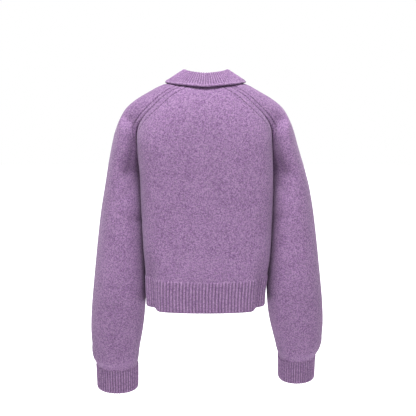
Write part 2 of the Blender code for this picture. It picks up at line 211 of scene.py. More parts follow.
FASHION_IN = 19           # from the raglan seam to the body's fashioning line
FASHION_OUT = 11          # from the raglan seam to the sleeve's fashioning line
BODY_ARMPIT = (0.40, 0.46)    # shares of a piece's length between which its raglan part ends
SLEEVE_ARMPIT = (0.26, 0.32)
SEAM_DEPTH = 1.3
SEAM_WIDTH = 2.2
LINE_DEPTH = 1.1
LINE_WIDTH = 2.0
LINE_FAINT = 0.4          # how much of the lines is left below the armpit
RIDGE_HEIGHT = 0.6
RIDGE_PLACE = 3.2
RIDGE_WIDTH = 2.4
RUN_OUT = 60              # how far the fashioning line moves into the seam at the armpit
RIB_STEPS = 8             # columns of the grid to a rib
BAND_STEPS = 6
# how much the painted groove shade darkens the wool
PAINTED_GROOVE_DARKNESS = 0.68
LINE_DARKNESS = 0.85
WALE = 0.0029             # metres across one column of stitches
COURSE = 0.0022           # metres down one row of stitches
DASH = 0.0066             # metres from one drawn-in stitch of a fashioning line to the next
LINE_REACH = {            # metres from a line at which its shade is gone, and is full
    "seam_line": (0.0030, 0.0006),
    "fashion_line": (0.0028, 0.0006),
}

BAND_RIBS = 4
BAND_RIB_HEIGHT = 0.8
# painted shade in the grooves between the band's ribs
BAND_SHADE = 0.8
SLIT_REACH = 12.6         # from the band's middle to the outer end of a buttonhole
SLIT_DEPTH = 1.8
SLIT_WIDTH = 0.9
LIP_HEIGHT = 0.5
LIP_WIDTH = 3
BUTTON_REST = 0.3         # from the band's plain surface to the button's underside
HOLE_OUT = 1.9            # from a button's middle to a hole's, both ways
HOLE_RADIUS = 0.95
HOLE_SEGMENTS = 14
BUTTON_SEGMENTS = 48
BUTTON_SHARP = math.radians(40)
THREAD_HALF = (0.75, 2.7, 0.8)  # half sizes of the stitch between two holes
THREAD_HEIGHT = 0.5
BUTTON_PROFILE = (        # radius and height, from the underside's middle to the top's
    (0, -2), (8.6, -2), (9.5, -1.6), (BUTTON_RADIUS, -0.8), (BUTTON_RADIUS, 0.7), (9.7, 1.4),
    (9.1, 1.9), (8.3, 2), (7.5, 1.7), (6.9, 1), (6.2, 0.55), (4, 0.35), (0, 0.3),
)

PIXEL = 0.0022            # metres that one pixel of the 416 pixel frame covers at the garment
FRAME_PIXELS = 416
CENTRE_ABOVE = 124        # pixels from the garment's origin down to the frame's middle
CENTRE_RIGHT = 1          # pixels from the garment's middle line to the frame's middle
CAMERA_DISTANCE = 4.6
CAMERA_ELEVATION = math.radians(7)
ROOM_LIGHT = 0.36         # how bright the white room is for the wool, 1 as the background
FLOOR_HEIGHT = -1.0
FLOOR_HALF = 8
FLOOR_GLOW = 0.2
LIT_POINT = Vector((0, 0, -0.2))
TOP_POWER = 155
TOP_PLACE = (0.2, 1.1, 2.8)
TOP_SIZE = 1.4
FRONT_POWER = 30
FRONT_PLACE = (-1.2, -2.4, 1.6)
FRONT_SIZE = 1.6


# ---------------------------------------------------------------- arithmetic on whole grids
def ease(value, start, end):
    """0 at start and 1 at end, with a soft beginning and finish."""
    part = np.clip((value - start) / (end - start), 0, 1)
    return part * part * (3 - 2 * part)


def mix(start, end, part):
    return start + (end - start) * part


def vector(x, y, z):
    return np.stack(np.broadcast_arrays(x, y, z), axis=-1).astype(float)


def lerp(first, second, part):
    return first + (second - first) * np.asarray(part)[..., None]


def unit(vectors):
    return vectors / np.linalg.norm(vectors, axis=-1, keepdims=True)


def between(rows, key):
    """A table's rows at any keys, on smooth curves through the rows."""
    table = np.array(rows, float)
    if table[0, 0] > table[-1, 0]:
        table = table[::-1]
    last = len(table) - 1
    key = np.clip(np.asarray(key, float), table[0, 0], table[-1, 0])
    index = np.clip(np.searchsorted(table[:, 0], key, side="right") - 1, 0, last - 1)
    before = table[np.maximum(index - 1, 0)]
    start = table[index]
    end = table[index + 1]
    after = table[np.minimum(index + 2, last)]
    span = end[..., :1] - start[..., :1]
    part = (key[..., None] - start[..., :1]) / span
    leave = (end - before) / (end[..., :1] - before[..., :1]) * span
    arrive = (after - start) / (after[..., :1] - start[..., :1]) * span
    rise = start + (end - start) * part * part * (3 - 2 * part)
    values = rise + part * (1 - part) * ((1 - part) * leave - part * arrive)
    return type(rows[0])(*np.moveaxis(values, -1, 0))


def posed(points, sleeve=False):
    """The garment's lean, and the shorter, narrower hang of the right sleeve."""
    x, y, z = np.moveaxis(points, -1, 0)
    lean = mix(COLLAR_LEAN, LEAN, ease(z, *LEAN_GROWS)) * (1 - ease(z, *LEAN_FADES))
    low_lean = HEM_LEAN * ease(z, *HEM_LEAN_GROWS) * (1 - ease(z, *HEM_LEAN_FADES))
    low_lean = low_lean * ease(x, *HEM_LEAN_ACROSS)
    if sleeve:
        right = x < 0
        low_lean = np.where(right, low_lean, 0)
        narrower = mix(1, SLEEVE_NARROWER, ease(z, *NARROWER_RANGE))
        x = np.where(right, CUFF_MIDDLE + (x - CUFF_MIDDLE) * narrower, x)
        z = z + np.where(right, np.minimum(z - SHORTER_BELOW, 0) * (SLEEVE_SHORTER - 1), 0)
    return vector(x + lean + low_lean, y, z)


def mirrored(points, side):
    return points * np.array((side, 1, 1))


# ---------------------------------------------------------------- the body's surface
def body_radius(angle, height):
    """A squarish ring, pressed in under the arms and gathered above the back's hem."""
    angle, height = np.broadcast_arrays(angle, height)
    section = between(BODY, height)
    sine = np.sin(angle)
    cosine = np.abs(np.cos(angle))
    depth = np.where(sine > 0, section.back, section.front)
    squarer = np.where(sine > 0, ease(height, *BACK_SQUARE_RANGE), 0)
    power = mix(SQUARENESS, BACK_SQUARENESS, squarer)
    shares = (cosine / section.half_width) ** power + (np.abs(sine) / depth) ** power
    radius = shares ** (-1 / power)
    start, full, fade, end = DENT_RANGE
    pressed = ease(height, start, full) * (1 - ease(height, fade, end))
    away = (radius * sine - DENT_Y) / DENT_WIDTH
    radius = radius - np.where(cosine > 0.5, DENT_DEPTH * pressed * np.exp(-away * away), 0)
    away = (np.arccos(np.clip(cosine, 0, 1)) - FOLD_ANGLE) / FOLD_WIDTH
    gathered = FOLD_DEPTH * ease(height, FOLD_TOP, FOLD_FULL) * np.exp(-away * away)
    return radius - np.where(sine > 0, gathered, 0)


def body_point(angle, height, sunk=0.0):
    radius = body_radius(angle, height) - sunk
    return vector(radius * np.cos(angle), radius * np.sin(angle), height)


def hem_height(line, angle):
    level, drop = line
    return level + drop * np.sin(angle)


def hem_edge_height(angle):
    """The hem's edge, whose back hangs a step below its sides."""
    return hem_height(HEM_EDGE, angle) - HEM_STEP * ease(np.sin(angle), *HEM_STEP_AT)


def walked_length(points):
    """Distance walked from the first point to each point of a line."""
    steps = np.linalg.norm(np.diff(points, axis=0), axis=-1)
    return np.concatenate(([0.0], np.cumsum(steps)))


def even_keys(line, start, end, samples=801):
    """A function from a share of a line's length to the key that reaches it."""
    keys = np.linspace(start, end, samples)
    length = walked_length(line(keys))
    return lambda share: np.interp(share * length[-1], length, keys)


def raglan_back(station):
    row = between(RAGLAN, station)
    return np.radians(row.back_angle), row.back_z


def raglan_front(station):
    row = between(RAGLAN, station)
    return np.radians(row.front_angle), row.front_z


def neck_row(angle):
    return between(NECK, np.degrees(np.arcsin(np.clip(np.sin(angle), -1, 1))))


# ---------------------------------------------------------------- the sleeves' surface
def smooth_way(angle, height, towards):
    """The way along the body's surface from a point of it towards another place."""
    here = body_point(angle, height)
    round_way = body_point(angle + 0.01, height) - here
    up_way = body_point(angle, height + 1) - here
    normal = unit(np.cross(round_way, up_way))
    way = towards - here
    return unit(way - normal * np.sum(way * normal, axis=-1, keepdims=True))


def cap_section(station):
    """Handles of the curve over the shoulder, from the back raglan seam to the front one."""
    row = between(CAP, station)
    back_angle, back_z = raglan_back(station)
    front_angle, front_z = raglan_front(station)
    back = body_point(back_angle, back_z)
    front = body_point(front_angle, front_z)
    ridge = vector(row.x, row.y, row.z)
    swell = row.swell[..., None]
    back_way = unit(lerp(smooth_way(back_angle, back_z, ridge), CREASE_WAY, row.crease))
    front_crease = CREASE_WAY * (1, -1, 1)
    front_way = unit(lerp(smooth_way(front_angle, front_z, ridge), front_crease, row.crease))
    over = swell * np.array((0, 1, 0))
    return (back, back + back_way * swell, ridge + over, ridge,
            ridge - over, front + front_way * swell, front)


def tube_section(station):
    """Handles of the curve round the arm, from its inner side and back to it."""
    row = between(TUBE, station)
    tilt = np.radians(row.tilt)
    reach = (ROUND_HANDLE * row.half_depth)[..., None]
    back = vector(0, np.cos(tilt), -np.sin(tilt)) * reach
    inner = vector(row.inner, row.y, row.z)
    outer = vector(row.outer, row.y, row.z)
    return inner, inner + back, outer + back, outer, outer - back, inner - back, inner


def curve_point(a, b, c, d, part):
    part = np.asarray(part)[..., None]
    rest = 1 - part
    return a * rest ** 3 + 3 * b * rest ** 2 * part + 3 * c * rest * part ** 2 + d * part ** 3


def sleeve_point(station, share):
    """A point at a station down the arm and a share of the way round it, back before front."""
    station, share = np.broadcast_arrays(station, share)
    part = ease(station, ARMPIT, ARMPIT + ARMPIT_BLEND)
    row = between(TUBE, np.maximum(station, ARMPIT))
    lower = vector(0, 0, row.z - TUBE[0].z)
    wider = vector(row.outer - TUBE[0].outer, 0, 0)
    caps = cap_section(np.minimum(station, ARMPIT))
    caps = [cap + lower + wider * share_moved for cap, share_moved in zip(caps, OUTER_HANDLES)]
    tubes = tube_section(np.maximum(station, ARMPIT))
    points = [lerp(cap, tube, part) for cap, tube in zip(caps, tubes)]
    back_half = curve_point(*points[:4], np.clip(share * 2, 0, 1))
    front_half = curve_point(*points[3:], np.clip(share * 2 - 1, 0, 1))
    point = np.where((share < 0.5)[..., None], back_half, front_half)
    angle = mix(raglan_back(0)[0], raglan_front(0)[0], share)
    return lerp(point, neck_seam(angle), 1 - ease(station, 0, 1))


# ---------------------------------------------------------------- the collar's surface
def neck_seam(angle):
    return body_point(angle, neck_row(angle).seam_z)


def collar_point(angle, share):
    """A point of the collar: up its stand, over its fold and down its leaf."""
    angle, share = np.broadcast_arrays(angle, share)
    row = neck_row(angle)
    seam = neck_seam(angle) + np.array((0, 0, NECK_GAP))
    outward = vector(np.cos(angle), np.sin(angle), 0)
    middle = outward * row.fold_r[..., None] + vector(0, 0, row.fold_z)
    lean = np.radians(row.edge_angle)
    lean = np.where(np.cos(angle) < 0, math.pi - lean, lean)
    edge = vector(row.edge_r * np.cos(lean), row.edge_r * np.sin(lean), row.edge_z)

    def turn_of(way):
        return np.arctan2(way[..., 2], np.sum(way * outward, axis=-1)) + math.pi / 2

    def on_fold(turn):
        flat = outward * np.cos(turn)[..., None]
        return middle + (flat + vector(0, 0, np.sin(turn))) * FOLD_RADIUS

    first = turn_of(middle - seam)
    last = turn_of(edge - middle)
    stand = lerp(seam, on_fold(first), np.clip(share / STAND_SHARE, 0, 1))
    over = (share - STAND_SHARE) / (LEAF_SHARE - STAND_SHARE)
    fold = on_fold(mix(first, last, np.clip(over, 0, 1)))
    leaf = lerp(on_fold(last), edge, np.clip((share - LEAF_SHARE) / (1 - LEAF_SHARE), 0, 1))
    point = np.where((share < STAND_SHARE)[..., None], stand, fold)
    return np.where((share > LEAF_SHARE)[..., None], leaf, point)


# ---------------------------------------------------------------- each piece's surface
def back_surface(across, down):
    station = body_row_key(down)
    cap_station = np.minimum(station, ARMPIT)
    edge, height = raglan_back(cap_station)
    angle = mix(edge + SEAM_ANGLE, math.pi - edge - SEAM_ANGLE, across)
    part = np.clip((station - ARMPIT) / (BODY_ROWS - ARMPIT), 0, 1)
    height = mix(height, hem_height(HEM_TOP, angle), part)
    return posed(body_point(angle, height))


def band_angle(x, height):
    return -math.pi / 2 + x / between(BODY, height).front


def lap_depth(x):
    return LAP * (1 - ease(x, BAND_HALF, LAP_START))


def front_surface(side):
    def surface(across, down):
        station = body_row_key(down)
        cap_station = np.minimum(station, ARMPIT)
        edge, edge_z = raglan_front(cap_station)
        edge = edge - SEAM_ANGLE
        middle_z = mix(NECK_FRONT, ARMPIT_MIDDLE, cap_station / ARMPIT)
        top_edge, top_z = raglan_front(0)
        top_angle = mix(top_edge, -math.pi / 2, across)
        dip = (neck_row(top_angle).seam_z - top_z) / (NECK_FRONT - top_z)
        height = mix(edge_z, middle_z, dip)
        angle = mix(edge, band_angle(BAND_HALF + SEAM, middle_z), across)
        part = np.clip((station - ARMPIT) / (BODY_ROWS - ARMPIT), 0, 1)
        height = mix(height, hem_height(HEM_TOP, angle), part)
        along_band = np.where(part > 0, height, middle_z)
        angle = mix(edge, band_angle(BAND_HALF + SEAM, along_band), across)
        radius = body_radius(angle, height)
        sunk = lap_depth(radius * np.cos(angle)) if side > 0 else 0
        return posed(mirrored(body_point(angle, height, sunk), side))
    return surface


def hem_back_surface(across, down):
    start = SIDE_SEAM + SEAM_ANGLE
    evenly = even_keys(lambda angle: body_point(angle, BACK_SPACING_AT), start, math.pi - start)
    angle = evenly(across)
    top = hem_height(HEM_TOP, angle) - SEAM
    return posed(body_point(angle, mix(top, hem_edge_height(angle), down)))


def hem_front_surface(side):
    start = SIDE_SEAM - SEAM_ANGLE
    end = band_angle(BAND_HALF + SEAM, HEM_EDGE[0])
    evenly = even_keys(lambda angle: body_point(angle, FRONT_SPACING_AT), start, end)

    def surface(across, down):
        angle = evenly(across)
        top = hem_height(HEM_TOP, angle) - SEAM
        height = mix(top, hem_edge_height(angle), down)
        radius = body_radius(angle, height)
        sunk = lap_depth(radius * np.cos(angle)) if side > 0 else 0
        return posed(mirrored(body_point(angle, height, sunk), side))
    return surface


def band_surface(sunk):
    def surface(across, down):
        x = mix(-BAND_HALF, BAND_HALF, across)
        top = neck_row(band_angle(x, NECK_FRONT)).seam_z - SEAM
        height = mix(top, HEM_EDGE[0] - HEM_EDGE[1], down)
        return posed(body_point(band_angle(x, height), height, sunk))
    return surface


def sleeve_surface(side, first, last):
    evenly = even_keys(lambda station: sleeve_point(station, 0.5), first, last)

    def surface(across, down):
        point = sleeve_point(evenly(down), mix(SLIT_SHARE, 1 - SLIT_SHARE, across))
        return posed(mirrored(point, side), sleeve=True)
    return surface


def collar_surface(across, over):
    angle = mix(-math.pi / 2 + COLLAR_END, 1.5 * math.pi - COLLAR_END, across)
    return posed(collar_point(angle, over))


def back_centre_line(station):
    part = np.clip((station - ARMPIT) / (BODY_ROWS - ARMPIT), 0, 1)
    height = mix(raglan_back(np.minimum(station, ARMPIT))[1], HEM_TOP[0] + HEM_TOP[1], part)
    return body_point(np.full_like(station, math.pi / 2), height)


body_row_key = even_keys(back_centre_line, 0, BODY_ROWS)

# ---------------------------------------------------------------- relief on the cloth
Lay = namedtuple("Lay", "across down left right top bottom width length")
Crease = namedtuple("Crease", "across down turn length width depth")

BACK_CREASES = (
    Crease(0.13, 0.60, 80, 170, 15, 1.5),
    Crease(0.88, 0.63, 99, 150, 15, 1.4),
    Crease(0.30, 0.92, 84, 70, 13, 1.6),
    Crease(0.72, 0.93, 97, 62, 12, 1.3),
    Crease(0.22, 0.86, 62, 60, 12, -0.9),
    Crease(0.80, 0.87, 118, 55, 12, -0.9),
    Crease(0.47, 0.95, 92, 45, 16, 0.8),
)
FRONT_CREASES = (
    Crease(0.18, 0.60, 100, 150, 16, 1.4),
    Crease(0.42, 0.90, 88, 70, 15, 1.2),
    Crease(0.65, 0.93, 93, 50, 13, -0.8),
)
SLEEVE_CREASES = (
    Crease(0.10, 0.33, 66, 110, 11, 2.0),
    Crease(0.17, 0.44, 24, 70, 12, 1.7),
    Crease(0.12, 0.53, -14, 60, 11, 2.0),
    Crease(0.34, 0.36, 74, 90, 20, 0.9),
    Crease(0.40, 0.58, 100, 120, 22, 0.9),
    Crease(0.78, 0.50, 10, 75, 13, 2.0),
    Crease(0.84, 0.60, -8, 65, 12, 2.2),
    Crease(0.80, 0.68, 14, 60, 12, 1.6),
    Crease(0.30, 0.80, 12, 80, 13, 1.6),
    Crease(0.22, 0.88, -12, 75, 10, 1.8),
    Crease(0.42, 0.90, 6, 60, 9, 1.3),
    Crease(0.55, 0.93, 6, 90, 9, 1.4),
    Crease(0.75, 0.90, -14, 70, 10, 1.5),
)


def creased(lay, creases):
    """Soft troughs and ridges, away from the seams."""
    rise = np.zeros_like(lay.across)
    for crease in creases:
        turn = math.radians(crease.turn)
        x = (lay.across - crease.across) * lay.width
        y = (lay.down - crease.down) * lay.length
        along = (x * math.cos(turn) + y * math.sin(turn)) / (crease.length / 2)
        aside = (y * math.cos(turn) - x * math.sin(turn)) / crease.width
        rise -= crease.depth * np.exp(-aside ** 2 - along ** 4)
    inside = np.minimum(np.minimum(lay.left, lay.right), np.minimum(lay.top, lay.bottom))
    return rise * ease(inside, *CREASE_MARGIN)


def bump_at(distance, place, width):
    """1 along a line that keeps its distance from an edge, and 0 away from it."""
    return np.exp(-((distance - place) / width) ** 2)


def rib_wave(across, count):
    """1 on a rib's crest and 0 in the narrower groove."""
    return (0.5 - 0.5 * np.cos(TAU * across * count)) ** RIB_ROUNDNESS


# ---------------------------------------------------------------- making the pieces
def grid_normals(points, facing):
    sideways = np.gradient(points, axis=1)
    down = np.gradient(points, axis=0)
    return unit(np.cross(sideways, -down)) * facing


def measure_lay(points, across, down):
    """Each point's shares and its distances from the piece's edges, along the cloth."""
    steps = np.linalg.norm(np.diff(points, axis=1), axis=-1)
    left = np.concatenate((np.zeros_like(across[:, :1]), np.cumsum(steps, axis=1)), axis=1)
    drops = np.linalg.norm(np.diff(points, axis=0), axis=-1)
    top = np.concatenate((np.zeros_like(across[:1]), np.cumsum(drops, axis=0)), axis=0)
    return Lay(across, down, left, left[:, -1:] - left, top, top[-1:] - top, left.max(), top.max())


def cloth(name, surface, columns, rows, facing, relief, free):
    """A fine grid on a surface, with relief outside, the knit's thickness and soft free rims.

    relief gives each point's lift and the marks that the finish reads. free names the edges
    that end in the open. The other ones meet a neighbour at a seam.
    """
    across, down = np.meshgrid(np.linspace(0, 1, columns + 1), np.linspace(0, 1, rows + 1))
    points = surface(across, down)
    normals = grid_normals(points, facing)
    lay = measure_lay(points, across, down)
    lift, marks = relief(lay)
    outside = (points + normals * lift[..., None]) * MM
    inside = (points + normals * (np.clip(lift, *INSIDE_RELIEF) - WALL)[..., None]) * MM

    mesh = bmesh.new()
    for label in marks:
        mesh.verts.layers.float.new(label)
    laid = mesh.loops.layers.uv.new("cloth")
    layers = [(mesh.verts.layers.float[label], marks[label]) for label in marks]
    bmesh.ops.create_grid(mesh, x_segments=columns, y_segments=rows, size=1)
    grown = bmesh.ops.extrude_face_region(mesh, geom=mesh.faces[:])
    outer = {item for item in grown["geom"] if isinstance(item, bmesh.types.BMVert)}
    spots = {}
    for vert in mesh.verts:
        column = round((vert.co.x + 1) / 2 * columns)
        row = round((vert.co.y + 1) / 2 * rows)
        spots[vert] = (row, column, vert in outer)
        vert.co = (outside if vert in outer else inside)[row, column]
        flat = ((lay.left[row, column] - lay.left[row, -1] / 2) * MM, -lay.top[row, column] * MM)
        for loop in vert.link_loops:
            loop[laid].uv = flat
        if vert in outer:
            for layer, values in layers:
                vert[layer] = values[row, column]
    bmesh.ops.recalc_face_normals(mesh, faces=mesh.faces)
    finish_rims(mesh, spots, rows, columns, free)
    data = bpy.data.meshes.new(name)
    mesh.to_mesh(data)
    mesh.free()
    data.shade_smooth()
    item = bpy.data.objects.new(name, data)
    bpy.context.scene.collection.objects.link(item)
    return item


def finish_rims(mesh, spots, rows, columns, free):
    """Rounds a wall's free edges, and keeps the edges at its seams crisp."""
    sides = {"top": (0, 0), "bottom": (0, rows), "left": (1, 0), "right": (1, columns)}
    rounded = []
    for edge in mesh.edges:
        first, second = (spots[vert] for vert in edge.verts)
        if first[2] != second[2]:
            edge.smooth = False
            continue
        for word, (axis, value) in sides.items():
            if first[axis] == value and second[axis] == value:
                if word in free:
                    rounded.append(edge)
                else:
                    edge.smooth = False
    if rounded:
        bmesh.ops.bevel(mesh, geom=rounded, offset=RIM_ROUND * MM, segments=2, profile=0.5,
                        affect="EDGES", material=-1, clamp_overlap=True)


# ---------------------------------------------------------------- material tools
def node(tree, kind, **sockets):
    """A node with its sockets set to values or linked to other nodes' outputs."""
    made = tree.nodes.new(kind)
    for name, value in sockets.items():
        link_or_set(tree, made.inputs[name.replace("_", " ")], value)
    return made


def link_or_set(tree, socket, value):
    if isinstance(value, bpy.types.NodeSocket):
        tree.links.new(value, socket)
    else:
        socket.default_value = value


def maths(tree, operation, *values):
    made = tree.nodes.new("ShaderNodeMath")
    made.operation = operation
    for socket, value in zip(made.inputs, values):
        link_or_set(tree, socket, value)
    return made.outputs[0]


def span(tree, *values):
    """A value's place between two limits, eased at both, and what it becomes at each."""
    made = tree.nodes.new("ShaderNodeMapRange")
    made.interpolation_type = "SMOOTHSTEP"
    for socket, value in zip(made.inputs, values):
        link_or_set(tree, socket, value)
    return made.outputs[0]


def noise(tree, where, scale, detail=3.0, rough=0.6, distort=0.0):
    return node(tree, "ShaderNodeTexNoise", Vector=where, Scale=scale, Detail=detail,
                Roughness=rough, Distortion=distort).outputs["Fac"]


def colour_mix(tree, part, first, second):
    """Blends two colours, each a socket or red, green and blue."""
    made = tree.nodes.new("ShaderNodeMix")
    made.data_type = "RGBA"
    tree.links.new(part, made.inputs["Factor"])
    for label, colour in (("A", first), ("B", second)):
        given = isinstance(colour, bpy.types.NodeSocket)
        link_or_set(tree, made.inputs[label], colour if given else (*colour, 1))
    return made.outputs["Result"]


def attribute(tree, label):
    made = tree.nodes.new("ShaderNodeAttribute")
    made.attribute_name = label
    return made.outputs["Fac"]


def new_group(name, inputs, outputs):
    group = bpy.data.node_groups.new(name, "ShaderNodeTree")
    for label in inputs:
        group.interface.new_socket(label, in_out="INPUT", socket_type="NodeSocketVector")
    for label in outputs:
        group.interface.new_socket(label, in_out="OUTPUT", socket_type="NodeSocketFloat")
    given = group.nodes.new("NodeGroupInput").outputs
    return group, given, group.nodes.new("NodeGroupOutput").inputs


def use_group(tree, group, **sockets):
    made = tree.nodes.new("ShaderNodeGroup")
    made.node_tree = group
    for name, value in sockets.items():
        tree.links.new(value, made.inputs[name])
    return made.outputs


def new_material(name):
    material = bpy.data.materials.new(name)
    material.use_nodes = True
    tree = material.node_tree
    place = tree.nodes.new("ShaderNodeTexCoord").outputs
    return material, tree, tree.nodes["Principled BSDF"].inputs, place


# ---------------------------------------------------------------- the wool's shared effects
def heathered_yarn():
    """Dark, pale and grey fibres spun together: fleck by fleck, and in slow clouds."""
    group, given, made = new_group("heathered_yarn", ("Place",), ("Pale", "Grey", "Fleck", "Fuzz"))
    place = given["Place"]
    yarn = noise(group, place, 430, 2, 0.55, 0.5)
    fibre = noise(group, place, 1500, 3, 0.6, 0.8)
    cloud = noise(group, place, 30, 2, 0.5)
    tuft = noise(group, place, 230, 2, 0.5, 0.4)
    pale = maths(group, "MULTIPLY", yarn, 0.52)
    pale = maths(group, "MULTIPLY_ADD", fibre, 0.20, pale)
    pale = maths(group, "MULTIPLY_ADD", cloud, 0.06, pale)
    pale = maths(group, "MULTIPLY_ADD", tuft, 0.22, pale)
    group.links.new(span(group, pale, 0.40, 0.60), made["Pale"])
    group.links.new(span(group, noise(group, place, 370, 1, 0.5, 0.9), 0.46, 0.66), made["Grey"])
    group.links.new(span(group, noise(group, place, 620, 2, 0.5, 1.2), 0.58, 0.74), made["Fleck"])
    fuzz = maths(group, "MULTIPLY_ADD", fibre, 0.5, maths(group, "MULTIPLY", yarn, 0.5))
    group.links.new(fuzz, made["Fuzz"])
    return group


def from_half(tree, value):
    """How far a repeating value is from the middle of its step."""
    return maths(tree, "ABSOLUTE", maths(tree, "SUBTRACT", maths(tree, "FRACT", value), 0.5))


def knit_stitches():
    """Height of the felted V stitches, from the cloth's own UV map in metres, and a mask of the gaps
    between them for painted shade.
    """
    group, given, made = new_group("knit_stitches", ("Cloth",), ("Height", "Painted gap shade"))
    parts = node(group, "ShaderNodeSeparateXYZ", Vector=given["Cloth"])
    wobble = noise(group, given["Cloth"], 240, 1, 0.5)
    column = maths(group, "DIVIDE", parts.outputs["X"], WALE)
    column = maths(group, "MULTIPLY_ADD", wobble, 0.5, column)
    from_middle = from_half(group, column)
    row = maths(group, "DIVIDE", parts.outputs["Y"], COURSE)
    row = maths(group, "MULTIPLY_ADD", from_middle, 1.7, row)
    row = maths(group, "MULTIPLY_ADD", wobble, 0.5, row)
    leg = span(group, from_half(group, row), 0.5, 0.08, 0, 1)
    between_wales = span(group, from_middle, 0.34, 0.5, 0, 1)
    centre = span(group, from_middle, 0.1, 0.0, 0, 0.6)
    gap = maths(group, "MAXIMUM", between_wales, centre)
    group.links.new(maths(group, "SUBTRACT", leg, maths(group, "MULTIPLY", gap, 0.6)), made["Height"])
    group.links.new(gap, made["Painted gap shade"])
    return group


def sewn_lines():
    """The seam and the fashioning line beside it, as rows of small drawn-in stitches."""
    group, given, made = new_group("sewn_lines", ("Cloth",), ("Dark",))

    def drawn(label, most):
        away = maths(group, "ABSOLUTE", attribute(group, label))
        return span(group, away, *LINE_REACH[label], 0, most)

    down = node(group, "ShaderNodeSeparateXYZ", Vector=given["Cloth"]).outputs["Y"]
    beat = maths(group, "SINE", maths(group, "MULTIPLY", down, TAU / DASH))
    dash = span(group, beat, -0.7, 0.6, 0.35, 1)
    drawn_lines = maths(group, "MAXIMUM", drawn("seam_line", 1), drawn("fashion_line", 0.9))
    line = maths(group, "MULTIPLY", drawn_lines, dash)
    group.links.new(maths(group, "MULTIPLY", line, attribute(group, "line_share")), made["Dark"])
    return group


HEATHER = heathered_yarn()
STITCHES = knit_stitches()
LINES = sewn_lines()


def wool(name, dark, pale, grey, fleck, stitch_share):
    """Felted wool: heathered colour, faint stitches under a nap, painted shade in stitch gaps and
    grooves, dark seam lines, and a soft sheen.
    """
    material, tree, shader, place = new_material(name)
    yarn = use_group(tree, HEATHER, Place=place["Object"])
    knit = use_group(tree, STITCHES, Cloth=place["UV"])
    line = use_group(tree, LINES, Cloth=place["UV"])["Dark"]
    # a deep tone of the yarn, for the painted shade in gaps and grooves and for the dark seam lines
    dark_for_shade_and_seams = tuple(value * 0.30 for value in dark)
    painted_groove_shade = attribute(tree, "painted_groove_shade")

    colour = colour_mix(tree, yarn["Pale"], dark, pale)
    colour = colour_mix(tree, maths(tree, "MULTIPLY", yarn["Grey"], 0.30), colour, grey)
    colour = colour_mix(tree, maths(tree, "MULTIPLY", yarn["Fleck"], 0.50), colour, fleck)
    # painted shade in the gaps between stitches
    colour = colour_mix(tree, maths(tree, "MULTIPLY", knit["Painted gap shade"], stitch_share * 0.5), colour, dark_for_shade_and_seams)
    # painted shade in the grooves of ribs, the collar's roll and the buttonhole slits
    colour = colour_mix(tree, maths(tree, "MULTIPLY", painted_groove_shade, PAINTED_GROOVE_DARKNESS), colour, dark_for_shade_and_seams)
    colour = colour_mix(tree, maths(tree, "MULTIPLY", line, LINE_DARKNESS), colour, dark_for_shade_and_seams)
    tree.links.new(colour, shader["Base Color"])

    height = maths(tree, "MULTIPLY_ADD", knit["Height"], stitch_share, yarn["Fuzz"])
    height = maths(tree, "SUBTRACT", height, line)
    bump = node(tree, "ShaderNodeBump", Height=height, Strength=0.7, Distance=0.0008)
    tree.links.new(bump.outputs["Normal"], shader["Normal"])
    tree.links.new(span(tree, yarn["Fuzz"], 0.2, 0.8, 0.82, 0.98), shader["Roughness"])
    shader["Specular IOR Level"].default_value = 0.12
    shader["Sheen Weight"].default_value = 0.30
    shader["Sheen Roughness"].default_value = 0.45
    shader["Sheen Tint"].default_value = (0.90, 0.78, 0.96, 1)
    return material


BODY_WOOL = wool("felted_wool", dark=(0.175, 0.085, 0.215), pale=(0.420, 0.255, 0.465),
                 grey=(0.330, 0.270, 0.330), fleck=(0.075, 0.045, 0.098), stitch_share=0.35)
RIB_WOOL = wool("ribbed_wool", dark=(0.215, 0.110, 0.258), pale=(0.475, 0.295, 0.520),
                grey=(0.340, 0.280, 0.340), fleck=(0.080, 0.048, 0.102), stitch_share=0.25)


def shell_plastic():
    """Buttons of a like colour, with slow pearly clouds."""
    material, tree, shader, place = new_material("button_shell")
    cloud = noise(tree, place["Object"], 160, 3, 0.5, 1.5)
    part = span(tree, cloud, 0.3, 0.7, 0, 1)
    clouded = colour_mix(tree, part, (0.17, 0.09, 0.21), (0.27, 0.16, 0.32))
    tree.links.new(clouded, shader["Base Color"])
    tree.links.new(span(tree, cloud, 0.2, 0.8, 0.22, 0.36), shader["Roughness"])
    bump = node(tree, "ShaderNodeBump", Height=noise(tree, place["Object"], 900, 2), Strength=0.08,
                Distance=0.0002)
    tree.links.new(bump.outputs["Normal"], shader["Normal"])
    return material


def sewing_thread():
    """Twisted thread that sews the buttons on."""
    material, tree, shader, place = new_material("sewing_thread")
    twist = noise(tree, place["Object"], 2400, 2, 0.5, 2.0)
    part = span(tree, twist, 0.3, 0.7, 0, 1)
    twisted = colour_mix(tree, part, (0.12, 0.06, 0.15), (0.28, 0.17, 0.32))
    tree.links.new(twisted, shader["Base Color"])
    bump = node(tree, "ShaderNodeBump", Height=twist, Strength=0.5, Distance=0.0002)
    tree.links.new(bump.outputs["Normal"], shader["Normal"])
    shader["Roughness"].default_value = 0.7
    return material


BUTTON_SHELL = shell_plastic()
THREAD = sewing_thread()


def finish_piece(item, replaced, material):
    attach(item, "root")
    if replaced:
        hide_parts(replaced)
    item.data.materials.clear()
    item.data.materials.append(material)


